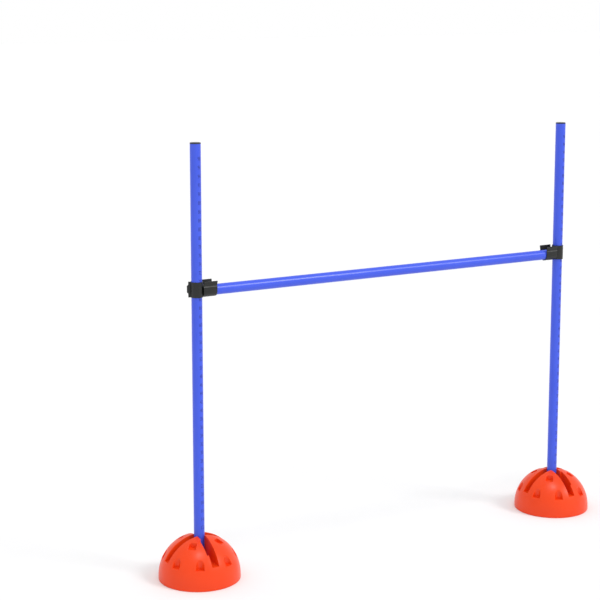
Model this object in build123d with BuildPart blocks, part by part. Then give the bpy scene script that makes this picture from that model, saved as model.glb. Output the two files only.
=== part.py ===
"""Agility hurdle: two weighted dome bases, two upright poles, two sliding clips and a lift-off crossbar.

Frame: +X runs along the crossbar from the left pole to the right pole, +Z is up, and -Y is the
side that the dog jumps from. The origin is on the floor, midway between the two poles.
All sizes are in millimetres. The left-hand pieces are built first and the right-hand pieces are
their mirror images.
"""

import os
from math import cos, radians, sin, sqrt, tan

from build123d import *

os.makedirs("parts", exist_ok=True)

# ---- overall sizes -----------------------------------------------------------------------------
pole_spacing = 1035.0  # axis to axis
overall_height = 1020.0  # floor to the top of the pole caps
bar_height = 681.0  # floor to the crossbar's axis

# ---- tubes and their end plugs -----------------------------------------------------------------
tube_radius = 12.5
tube_wall = 1.5
top_cap_height = 2.6
end_cap_height = 2.0
plug_depth = 16.0
plug_wall = 1.6
plug_gap = 0.1

# ---- dome base ---------------------------------------------------------------------------------
dome_radius = 96.0
dome_centre_height = 9.0  # the wall is upright below this height
rim_rounding = 2.0
recess_edge_break = 0.8
shell_wall = 3.0
slot_floor_height = 52.0
slot_width = 17.4
slot_relief_depth = 4.0  # a shallow step in one wall of the front slot and one of the back slot
slot_relief_start = 24.5
slot_relief_end = 67.0
lower_pocket_floor = 46.6
lower_pocket_back = 75.0
lower_pocket_width = 19.6
lower_pocket_angles = (25.0, 65.0)
upper_pocket_floor = 85.6
upper_pocket_back = 38.5
upper_pocket_width = 16.5  # at the back wall
upper_pocket_flare = 4.0  # degrees that each side wall opens outwards
upper_pocket_corner = 3.0
upper_pocket_angle = 45.0
socket_floor = 16.0
socket_floor_wall = 3.0
pole_clearance = 0.3

# ---- floor plate and filler plug ---------------------------------------------------------------
plate_thickness = 3.0
plate_radius = 91.8
plate_gap = 0.2
ledge_radius = 87.0
ledge_height = 6.0
filler_offset = 48.0
filler_hole_radius = 12.0
filler_boss_radius = 18.0
filler_boss_height = 9.0
filler_flange_radius = 15.2
filler_flange_height = 1.6
filler_recess = 0.4
filler_thread_height = 12.5
coin_slot_length = 20.0
coin_slot_width = 2.4
coin_slot_depth = 1.0

# ---- clip: a collar on the pole and an open cup for the crossbar --------------------------------
collar_wall = 1.6
collar_bottom = -13.5  # below the crossbar's axis
collar_top = 22.0
ear_angle = 158.0  # direction of the collar's split, from +X towards +Y
ear_reach = 19.2
ear_thickness = 2.0
split_width = 2.4
tab_reach = 22.3
tab_bottom = -4.6
tab_top = 14.6
tab_corner = 2.6
relief_inner = 14.7
relief_outer = 16.4
relief_margin = 1.6
relief_depth = 1.2
cup_start = 11.5  # distances from the pole's axis
bar_stop = 17.2
cup_end = 45.3
cup_outer_radius = 14.7
cup_shoulder_height = 9.2
cup_shoulder_rounding = 2.0
neck_height = 11.2
neck_outer = 13.5
lip_top = 22.6
lip_inner = 14.7
lip_outer = 16.1
lip_rounding = 0.6
bar_end_gap = 0.3

# ---- worked out from the sizes above -----------------------------------------------------------
pole_x = -pole_spacing / 2
bore_radius = tube_radius + pole_clearance
collar_radius = bore_radius + collar_wall
dome_top = dome_centre_height + dome_radius
inner_dome_radius = dome_radius - shell_wall
past_dome = dome_radius + 5.0
tube_bottom = socket_floor + end_cap_height
tube_top = overall_height - top_cap_height
bar_end = -pole_x - bar_stop - bar_end_gap
plug_radius = tube_radius - tube_wall - plug_gap
pole_axis = Axis((pole_x, 0, 0), (0, 0, 1))


def upright(height):
    """Horizontal plane at a height, centred on the left pole's axis."""
    return Plane((pole_x, 0, height))


def dome_profile(radius, bottom):
    """Half section of the dome above a height: an upright band under a quarter circle."""
    top = dome_centre_height + radius
    middle = (radius * sqrt(0.5), dome_centre_height + radius * sqrt(0.5))
    section = Plane((pole_x, 0, 0), x_dir=(1, 0, 0), z_dir=(0, -1, 0))
    with BuildSketch(section) as profile:
        with BuildLine():
            Polyline((0, top), (0, bottom), (radius, bottom), (radius, dome_centre_height))
            ThreePointArc((radius, dome_centre_height), middle, (0, top))
        make_face()
    return profile.sketch


def above_the_band(edge):
    return edge.center().Z > dome_centre_height + recess_edge_break


def slot_plan(grow):
    """Four crossed slots, with a shallow relief in one wall of the front and the back slot."""
    for turn in (0, 90):
        Rectangle(2 * past_dome, slot_width + 2 * grow, rotation=turn)
    length = slot_relief_end - slot_relief_start + 2 * grow
    middle = (slot_relief_start + slot_relief_end) / 2
    depth = slot_width / 2 + slot_relief_depth + grow
    for side in (1, -1):
        with Locations((side * depth / 2, side * middle)):
            Rectangle(depth, length)


def lower_pocket_plan(grow):
    """Eight pockets, open outwards, with half-round back walls."""
    round_centre = lower_pocket_back + lower_pocket_width / 2
    length = past_dome - round_centre
    for angle in lower_pocket_angles:
        with PolarLocations(round_centre, 4, start_angle=angle):
            Circle(lower_pocket_width / 2 + grow)
        with PolarLocations(round_centre + length / 2, 4, start_angle=angle):
            Rectangle(length, lower_pocket_width + 2 * grow)


def upper_pocket_plan(grow):
    """Four pockets that widen outwards, with rounded back corners."""
    back = upper_pocket_back - grow
    length = past_dome - back
    mouth_width = upper_pocket_width + 2 * grow + 2 * length * tan(radians(upper_pocket_flare))
    with BuildSketch() as plan:
        with PolarLocations(back + length / 2, 4, start_angle=upper_pocket_angle):
            Trapezoid(mouth_width, length, 90 - upper_pocket_flare, rotation=90)
        back_corners = plan.vertices().sort_by_distance((0, 0, 0))[:8]
        fillet(back_corners, radius=upper_pocket_corner + grow)
    return plan.sketch


def recesses(grow):
    """The slots and pockets as one solid, grown by a wall thickness when that is wanted."""
    with BuildPart() as cutter:
        with BuildSketch(upright(slot_floor_height - grow)):
            slot_plan(grow)
        extrude(amount=dome_top)
        with BuildSketch(upright(lower_pocket_floor - grow)):
            lower_pocket_plan(grow)
        extrude(amount=dome_top)
        with BuildSketch(upright(upper_pocket_floor - grow)):
            add(upper_pocket_plan(grow))
        extrude(amount=dome_top)
    return cutter.part


def end_plug(plane, flange_height):
    """Tube end plug: a flange as wide as the tube and a hollow stem that pushes inside it."""
    with BuildPart() as plug:
        with BuildSketch(plane):
            Circle(tube_radius)
        extrude(amount=flange_height)
        with BuildSketch(plane):
            Circle(plug_radius)
            Circle(plug_radius - plug_wall, mode=Mode.SUBTRACT)
        extrude(amount=-plug_depth)
        outer_rim = plug.edges().filter_by(GeomType.CIRCLE).sort_by(SortBy.RADIUS)[-2:]
        far_side = outer_rim.sort_by_distance(plane.origin - 1000 * plane.z_dir)[-1]
        fillet(far_side, radius=min(1.2, 0.4 * flange_height))
    return plug.part


def tube(plane, length):
    """Round tube standing on a plane."""
    with BuildPart() as pipe:
        with BuildSketch(plane):
            Circle(tube_radius)
            Circle(tube_radius - tube_wall, mode=Mode.SUBTRACT)
        extrude(amount=length)
    return pipe.part


# ---- left base: hollow moulded dome with slots, pockets and the pole's socket --------------------
outer_recesses = recesses(0)
inner_recesses = recesses(shell_wall)

with BuildPart() as dome_cavity:
    revolve(dome_profile(inner_dome_radius, ledge_height), axis=pole_axis)
    with BuildSketch(upright(plate_thickness)):
        Circle(ledge_radius)
    extrude(amount=ledge_height)
    add(inner_recesses, mode=Mode.SUBTRACT)
    with BuildSketch(upright(0)):
        Circle(bore_radius + shell_wall)
    extrude(amount=slot_floor_height, mode=Mode.SUBTRACT)

with BuildPart() as left_base_shell:
    revolve(dome_profile(dome_radius, 0), axis=pole_axis)
    rim = left_base_shell.edges().filter_by(GeomType.CIRCLE).group_by(Axis.Z)[0]
    fillet(rim, radius=rim_rounding)
    add(outer_recesses, mode=Mode.SUBTRACT)
    dome_surface = left_base_shell.faces().filter_by(GeomType.SPHERE)[0]
    recess_edges = dome_surface.edges().filter_by(above_the_band)
    chamfer(recess_edges, length=recess_edge_break)
    with BuildSketch(upright(socket_floor)):
        Circle(bore_radius)
    extrude(amount=dome_top, mode=Mode.SUBTRACT)
    add(dome_cavity.part, mode=Mode.SUBTRACT)
    with BuildSketch(upright(0)):
        Circle(plate_radius + plate_gap)
    extrude(amount=plate_thickness, mode=Mode.SUBTRACT)
    with BuildSketch(upright(plate_thickness)):
        Circle(bore_radius)
    extrude(amount=socket_floor - socket_floor_wall - plate_thickness, mode=Mode.SUBTRACT)

# ---- left floor plate: closes the dome and carries the filler hole -------------------------------
filler_x = pole_x + filler_offset * cos(radians(225))
filler_y = filler_offset * sin(radians(225))

with BuildPart() as left_base_plate:
    with BuildSketch(upright(0)):
        Circle(plate_radius)
    extrude(amount=plate_thickness)
    with BuildSketch(Plane((filler_x, filler_y, 0))):
        Circle(filler_boss_radius)
    extrude(amount=filler_boss_height)
    with BuildSketch(Plane((filler_x, filler_y, 0))):
        Circle(filler_hole_radius)
    extrude(amount=filler_boss_height, mode=Mode.SUBTRACT)
    with BuildSketch(Plane((filler_x, filler_y, 0))):
        Circle(filler_flange_radius + plate_gap)
    extrude(amount=filler_recess + filler_flange_height, mode=Mode.SUBTRACT)

with BuildPart() as left_filler_plug:
    with BuildSketch(Plane((filler_x, filler_y, filler_recess))):
        Circle(filler_flange_radius)
    extrude(amount=filler_flange_height)
    with BuildSketch(Plane((filler_x, filler_y, filler_recess))):
        Circle(filler_hole_radius - plug_gap)
    extrude(amount=filler_thread_height)
    with BuildSketch(Plane((filler_x, filler_y, filler_recess + 2 * filler_flange_height))):
        Circle(filler_hole_radius - plug_gap - plug_wall)
    extrude(amount=filler_thread_height, mode=Mode.SUBTRACT)
    with BuildSketch(Plane((filler_x, filler_y, filler_recess))):
        Rectangle(coin_slot_length, coin_slot_width, rotation=45)
    extrude(amount=coin_slot_depth, mode=Mode.SUBTRACT)

# ---- left pole with its two end plugs ------------------------------------------------------------
with BuildPart() as left_pole:
    add(tube(upright(tube_bottom), tube_top - tube_bottom))

with BuildPart() as left_pole_top_cap:
    add(end_plug(upright(tube_top), top_cap_height))

with BuildPart() as left_pole_foot_cap:
    add(end_plug(Plane((pole_x, 0, tube_bottom), z_dir=(0, 0, -1)), end_cap_height))

# ---- crossbar with its two end plugs -------------------------------------------------------------
bar_tube_end = bar_end - end_cap_height

with BuildPart() as crossbar:
    add(tube(Plane((-bar_tube_end, 0, bar_height), z_dir=(1, 0, 0)), 2 * bar_tube_end))

with BuildPart() as crossbar_left_cap:
    add(end_plug(Plane((-bar_tube_end, 0, bar_height), z_dir=(-1, 0, 0)), end_cap_height))

with BuildPart() as crossbar_right_cap:
    add(end_plug(Plane((bar_tube_end, 0, bar_height), z_dir=(1, 0, 0)), end_cap_height))

# ---- left clip: split collar with two ears, and an open cup for the crossbar's end -----------------
ear_direction = (cos(radians(ear_angle)), sin(radians(ear_angle)), 0)
ear_normal = (sin(radians(ear_angle)), -cos(radians(ear_angle)), 0)
ear_half = split_width / 2 + ear_thickness
cup_plane = Plane((pole_x + cup_start, 0, bar_height), x_dir=(0, 1, 0), z_dir=(1, 0, 0))
ear_plane = Plane((pole_x, 0, bar_height), x_dir=ear_direction, z_dir=ear_normal)


def cup_section():
    """Section of the cup across the crossbar: round bottom, shoulders, necks and flared lips."""
    outer, inner = cup_outer_radius, bore_radius
    with BuildSketch(cup_plane) as section:
        with BuildLine():
            CenterArc((0, 0), outer, -90, 90)
            Polyline(
                (outer, 0),
                (outer, cup_shoulder_height),
                (neck_outer, neck_height),
                (lip_outer, lip_top),
                (lip_inner, lip_top),
                (inner, neck_height),
                (inner, 0),
            )
            CenterArc((0, 0), inner, 0, -90)
            mirror(about=Plane.YZ)
        make_face()
        corner_rows = section.vertices().group_by(Axis.Y)
        fillet(corner_rows[-1], radius=lip_rounding)
        fillet(corner_rows[-3], radius=cup_shoulder_rounding)
    return section.sketch


with BuildPart() as left_clip:
    with BuildSketch(upright(bar_height + collar_bottom)):
        Circle(collar_radius)
    extrude(amount=collar_top - collar_bottom)
    with BuildSketch(ear_plane):
        with BuildLine():
            Polyline(
                (0, collar_bottom),
                (ear_reach, collar_bottom),
                (ear_reach, tab_bottom),
                (tab_reach - tab_corner, tab_bottom),
                (tab_reach, tab_bottom + tab_corner),
                (tab_reach, tab_top - tab_corner),
                (tab_reach - tab_corner, tab_top),
                (ear_reach, tab_top),
                (ear_reach, collar_top),
                (0, collar_top),
                close=True,
            )
        make_face()
    extrude(amount=ear_half, both=True)
    relief_height = tab_top - tab_bottom + 2 * relief_margin
    for face in (1, -1):
        relief_floor = ear_plane.offset(face * (ear_half - relief_depth))
        with BuildSketch(relief_floor):
            with Locations(((relief_inner + relief_outer) / 2, (tab_bottom + tab_top) / 2)):
                Rectangle(relief_outer - relief_inner, relief_height)
        extrude(amount=face * ear_half, mode=Mode.SUBTRACT)
    extrude(cup_section(), amount=cup_end - cup_start)
    with BuildSketch(cup_plane):
        Circle(cup_outer_radius)
    extrude(amount=bar_stop - cup_start)
    with BuildSketch(upright(bar_height)):
        Circle(bore_radius)
    extrude(amount=collar_top, both=True, mode=Mode.SUBTRACT)
    with BuildSketch(ear_plane):
        with Locations((tab_reach, (collar_bottom + collar_top) / 2)):
            Rectangle(2 * tab_reach, collar_top - collar_bottom)
    extrude(amount=split_width / 2, both=True, mode=Mode.SUBTRACT)

# ---- labels and files ----------------------------------------------------------------------------
left_pieces = {
    "left_base_shell": left_base_shell,
    "left_base_plate": left_base_plate,
    "left_filler_plug": left_filler_plug,
    "left_pole": left_pole,
    "left_pole_top_cap": left_pole_top_cap,
    "left_pole_foot_cap": left_pole_foot_cap,
    "left_clip": left_clip,
}
bar_pieces = {
    "crossbar": crossbar,
    "crossbar_left_cap": crossbar_left_cap,
    "crossbar_right_cap": crossbar_right_cap,
}

for name, piece in (left_pieces | bar_pieces).items():
    piece.part.label = name
    export_step(piece.part, f"parts/{name}.step")

for name, piece in left_pieces.items():
    with BuildPart() as right_piece:
        mirror(piece.part, about=Plane.YZ)
    right_name = name.replace("left", "right")
    right_piece.part.label = right_name
    export_step(right_piece.part, f"parts/{right_name}.step")
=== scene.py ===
"""Looks for the agility hurdle: moulded orange-red bases, blue tubes with a printed height scale,
and satin black clips and caps. Everything is in metres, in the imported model's frame."""

import math

import bmesh
import bpy
from mathutils import Matrix, Vector


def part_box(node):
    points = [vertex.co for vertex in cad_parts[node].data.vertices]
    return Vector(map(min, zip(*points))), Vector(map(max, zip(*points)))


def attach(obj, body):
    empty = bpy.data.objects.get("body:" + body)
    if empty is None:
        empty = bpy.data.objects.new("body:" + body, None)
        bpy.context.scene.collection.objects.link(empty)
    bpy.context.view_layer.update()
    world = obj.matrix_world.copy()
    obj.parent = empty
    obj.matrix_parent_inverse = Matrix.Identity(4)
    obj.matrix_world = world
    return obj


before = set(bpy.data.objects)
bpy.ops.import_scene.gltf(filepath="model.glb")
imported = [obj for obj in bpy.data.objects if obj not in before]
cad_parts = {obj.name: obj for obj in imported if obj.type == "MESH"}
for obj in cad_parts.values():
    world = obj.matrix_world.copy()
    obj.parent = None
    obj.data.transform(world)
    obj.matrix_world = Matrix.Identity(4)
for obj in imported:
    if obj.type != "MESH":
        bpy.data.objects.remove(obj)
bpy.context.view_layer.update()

SIDES = ("left", "right")
ALONG_X, ALONG_Z = 0, 2  # the axis that a tube lies along

# ---- the camera, on the side that the dog jumps from ---------------------------------------------
CAMERA_PLACE = (-2.086, -3.236, 1.380)
CAMERA_HEADING = 29.6  # degrees from +Y towards +X
CAMERA_PITCH = -9.2  # degrees, negative below the horizon
CAMERA_LENS = 96.5  # millimetres
SENSOR_WIDTH = 36.0  # millimetres
CAMERA_SHIFT = -0.10  # of the picture's width

# ---- the printed height scale --------------------------------------------------------------------
SCALE_LOWEST_CM = 12
SCALE_HIGHEST_CM = 98
SCALE_STEP_CM = 2
DIGIT_HEIGHT = 0.0088
NUMBER_WIDTH = 0.0078
SCALE_TURN = 16.0  # degrees from -Y towards +X
NUMBER_STRIPS = 8  # upright strips that let a flat number bend round a pole
INK_PROUD = 0.00006

# ---- the stage -----------------------------------------------------------------------------------
FLOOR_REACH = 30.0


# ---- node helpers --------------------------------------------------------------------------------
NOISE_LOW, NOISE_HIGH = 0.3, 0.7  # nearly all of a noise's values fall between them


def new_material(name):
    """Empty node material with its Principled shader and the object's own coordinates."""
    material = bpy.data.materials.new(name)
    material.use_nodes = True
    nodes = material.node_tree.nodes
    shader = nodes["Principled BSDF"]
    place = nodes.new("ShaderNodeTexCoord")
    return material, nodes, material.node_tree.links, shader, place.outputs["Object"]


def noise(nodes, links, place, scale, detail=3.0, stretch=None):
    """Noise over the object's coordinates, drawn out along an axis whose stretch is under 1."""
    if stretch:
        mapping = nodes.new("ShaderNodeMapping")
        mapping.inputs["Scale"].default_value = stretch
        links.new(place, mapping.inputs["Vector"])
        place = mapping.outputs["Vector"]
    texture = nodes.new("ShaderNodeTexNoise")
    texture.inputs["Scale"].default_value = scale
    texture.inputs["Detail"].default_value = detail
    links.new(place, texture.inputs["Vector"])
    return texture.outputs["Fac"]


def ramp(nodes, links, value, stops):
    """Colour ramp from (position, colour) pairs."""
    node = nodes.new("ShaderNodeValToRGB")
    elements = node.color_ramp.elements
    while len(elements) < len(stops):
        elements.new(0.5)
    for element, (position, colour) in zip(elements, stops):
        element.position = position
        element.color = (*colour, 1.0)
    links.new(value, node.inputs["Fac"])
    return node.outputs["Color"]


def spread(nodes, links, value, low, high):
    """Map the usual span of a noise to a range from low to high."""
    node = nodes.new("ShaderNodeMapRange")
    node.inputs["From Min"].default_value = NOISE_LOW
    node.inputs["From Max"].default_value = NOISE_HIGH
    node.inputs["To Min"].default_value = low
    node.inputs["To Max"].default_value = high
    links.new(value, node.inputs["Value"])
    return node.outputs["Result"]


def bump(nodes, links, shader, height, strength, distance):
    """Bump on the shader's normal."""
    node = nodes.new("ShaderNodeBump")
    node.inputs["Strength"].default_value = strength
    node.inputs["Distance"].default_value = distance
    links.new(height, node.inputs["Height"])
    links.new(node.outputs["Normal"], shader.inputs["Normal"])


# ---- materials -----------------------------------------------------------------------------------
def base_plastic():
    """Moulded polyethylene: orange-red, satin, with a fine orange-peel skin."""
    material, nodes, links, shader, place = new_material("orange_red_polyethylene")
    cloud = noise(nodes, links, place, 14.0)
    links.new(
        ramp(nodes, links, cloud, ((0.3, (0.80, 0.050, 0.004)), (0.7, (0.85, 0.057, 0.006)))),
        shader.inputs["Base Color"],
    )
    links.new(
        spread(nodes, links, noise(nodes, links, place, 60.0), 0.30, 0.38),
        shader.inputs["Roughness"],
    )
    shader.inputs["Specular IOR Level"].default_value = 0.3
    bump(nodes, links, shader, noise(nodes, links, place, 900.0, 2.0), 0.12, 0.0006)
    return material


def tube_plastic(name, along):
    """Extruded blue tube: semi-gloss, with faint draw lines along its length."""
    material, nodes, links, shader, place = new_material(name)
    cloud = noise(nodes, links, place, 9.0)
    links.new(
        ramp(nodes, links, cloud, ((0.3, (0.036, 0.085, 0.695)), (0.7, (0.042, 0.095, 0.735)))),
        shader.inputs["Base Color"],
    )
    stretch = [1.0, 1.0, 1.0]
    stretch[along] = 0.02
    lines = noise(nodes, links, place, 420.0, 2.0, stretch)
    links.new(spread(nodes, links, lines, 0.27, 0.35), shader.inputs["Roughness"])
    bump(nodes, links, shader, lines, 0.06, 0.0004)
    return material


def black_plastic():
    """Moulded near-black plastic with a fine grain."""
    material, nodes, links, shader, place = new_material("black_moulding")
    cloud = noise(nodes, links, place, 45.0)
    links.new(
        ramp(nodes, links, cloud, ((0.3, (0.006, 0.007, 0.006)), (0.7, (0.010, 0.011, 0.010)))),
        shader.inputs["Base Color"],
    )
    links.new(
        spread(nodes, links, noise(nodes, links, place, 200.0), 0.34, 0.46),
        shader.inputs["Roughness"],
    )
    shader.inputs["Specular IOR Level"].default_value = 0.42
    bump(nodes, links, shader, noise(nodes, links, place, 1800.0, 2.0), 0.15, 0.0003)
    return material


def scale_ink():
    """Dark blue print, a little worn."""
    material, nodes, links, shader, place = new_material("scale_ink")
    wear = noise(nodes, links, place, 700.0, 4.0)
    links.new(
        ramp(nodes, links, wear, ((0.35, (0.010, 0.018, 0.27)), (0.75, (0.006, 0.011, 0.21)))),
        shader.inputs["Base Color"],
    )
    shader.inputs["Roughness"].default_value = 0.5
    return material


# ---- printed height scale ------------------------------------------------------------------------
def number_mesh(label):
    """Flat number centred on X and standing on Y = 0, cut into strips so that it can bend."""
    curve = bpy.data.curves.new("number", "FONT")
    curve.body = label
    curve.resolution_u = 3
    text = bpy.data.objects.new("number", curve)
    bpy.context.scene.collection.objects.link(text)
    bpy.context.view_layer.update()
    mesh = bpy.data.meshes.new_from_object(text)
    bpy.data.objects.remove(text)
    bpy.data.curves.remove(curve)
    flat = bmesh.new()
    flat.from_mesh(mesh)
    bpy.data.meshes.remove(mesh)
    xs = [v.co.x for v in flat.verts]
    ys = [v.co.y for v in flat.verts]
    to_size = Matrix.Diagonal((
        NUMBER_WIDTH / (max(xs) - min(xs)), DIGIT_HEIGHT / (max(ys) - min(ys)), 1.0, 1.0,
    ))
    to_foot = Matrix.Translation((-(max(xs) + min(xs)) / 2, -min(ys), 0))
    bmesh.ops.transform(flat, matrix=to_size @ to_foot, verts=flat.verts)
    for strip in range(1, NUMBER_STRIPS):
        bmesh.ops.bisect_plane(
            flat,
            geom=flat.verts[:] + flat.edges[:] + flat.faces[:],
            plane_co=((strip / NUMBER_STRIPS - 0.5) * NUMBER_WIDTH, 0, 0),
            plane_no=(1, 0, 0),
        )
    return flat


def height_scale(side, radius, ink):
    """Numbers in centimetres above the floor, wrapped round a pole."""
    low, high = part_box(f"{side}_pole")
    axis_x = (low[0] + high[0]) / 2
    joined = bmesh.new()
    for height in range(SCALE_LOWEST_CM, SCALE_HIGHEST_CM + 1, SCALE_STEP_CM):
        number = number_mesh(f"{height:02d}")
        for v in number.verts:
            turn = math.radians(SCALE_TURN - 90.0) + v.co.x / radius
            v.co = Vector((
                axis_x + radius * math.cos(turn),
                radius * math.sin(turn),
                height / 100.0 + v.co.y,
            ))
        bent = bpy.data.meshes.new("number")
        number.to_mesh(bent)
        number.free()
        joined.from_mesh(bent)
        bpy.data.meshes.remove(bent)
    result = bpy.data.meshes.new(f"{side}_height_scale")
    joined.to_mesh(result)
    joined.free()
    result.materials.append(ink)
    scale = bpy.data.objects.new(f"{side}_height_scale", result)
    bpy.context.scene.collection.objects.link(scale)
    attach(scale, f"{side}_pole")


# ---- stage ---------------------------------------------------------------------------------------
def floor():
    """Pale floor, large enough to fill the view."""
    mesh = bpy.data.meshes.new("floor")
    around = ((-1, -1), (1, -1), (1, 1), (-1, 1))
    corners = [(FLOOR_REACH * x, FLOOR_REACH * y, 0) for x, y in around]
    mesh.from_pydata(corners, [], [(0, 1, 2, 3)])
    material, nodes, links, shader, place = new_material("pale_floor")
    tint = noise(nodes, links, place, 3.0)
    links.new(
        ramp(nodes, links, tint, ((0.3, (0.85, 0.85, 0.85)), (0.7, (0.87, 0.87, 0.87)))),
        shader.inputs["Base Color"],
    )
    shader.inputs["Roughness"].default_value = 0.9
    shader.inputs["Specular IOR Level"].default_value = 0.1
    mesh.materials.append(material)
    ground = bpy.data.objects.new("floor", mesh)
    bpy.context.scene.collection.objects.link(ground)


def soft_light(name, source, power, spread_angle):
    """Even soft light over the whole floor, from the direction of a point."""
    light = bpy.data.lights.new(name, "SUN")
    light.angle = math.radians(spread_angle)
    light.energy = power
    lamp = bpy.data.objects.new(name, light)
    lamp.rotation_mode = "QUATERNION"
    lamp.rotation_quaternion = (-Vector(source)).to_track_quat("-Z", "Y")
    bpy.context.scene.collection.objects.link(lamp)


def studio():
    """White at the horizon and light grey above, with a soft key and a soft light overhead."""
    world = bpy.data.worlds.new("studio")
    world.use_nodes = True
    nodes, links = world.node_tree.nodes, world.node_tree.links
    direction = nodes.new("ShaderNodeTexCoord")
    parts = nodes.new("ShaderNodeSeparateXYZ")
    links.new(direction.outputs["Generated"], parts.inputs["Vector"])
    links.new(
        ramp(nodes, links, parts.outputs["Z"], ((0.05, (1.0, 1.0, 1.0)), (0.35, (0.78, 0.78, 0.78)))),
        nodes["Background"].inputs["Color"],
    )
    bpy.context.scene.world = world
    soft_light("key", (2.6, -3.4, 3.7), 1.0, 18.0)
    soft_light("overhead", (-0.15, -0.3, 1.0), 0.7, 13.0)
    bpy.context.scene.view_settings.view_transform = "Standard"
    bpy.context.scene.view_settings.look = "None"


def camera():
    """Camera at the photograph's viewing angle."""
    data = bpy.data.cameras.new("camera")
    data.lens = CAMERA_LENS
    data.sensor_width = SENSOR_WIDTH
    data.shift_y = CAMERA_SHIFT
    view = bpy.data.objects.new("camera", data)
    view.location = CAMERA_PLACE
    view.rotation_euler = (
        math.radians(90.0 + CAMERA_PITCH),
        0.0,
        math.radians(-CAMERA_HEADING),
    )
    bpy.context.scene.collection.objects.link(view)
    bpy.context.scene.camera = view


# ---- build ---------------------------------------------------------------------------------------
def paint(names, material):
    """Give the CAD nodes of these names a material."""
    for name in names:
        for material_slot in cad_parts[name].material_slots:
            material_slot.material = material


camera()
studio()
floor()

black = black_plastic()
ink = scale_ink()
red = base_plastic()
paint([f"{side}_base_{part}" for side in SIDES for part in ("shell", "plate")], red)
paint([f"{side}_pole" for side in SIDES], tube_plastic("blue_upright_tube", ALONG_Z))
paint(["crossbar"], tube_plastic("blue_cross_tube", ALONG_X))
paint(
    [f"{side}_{part}" for side in SIDES
     for part in ("clip", "filler_plug", "pole_top_cap", "pole_foot_cap")],
    black,
)
paint([f"crossbar_{side}_cap" for side in SIDES], black)

low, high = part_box("left_pole")
tube_radius = (high[0] - low[0]) / 2
for side in SIDES:
    height_scale(side, tube_radius + INK_PROUD, ink)
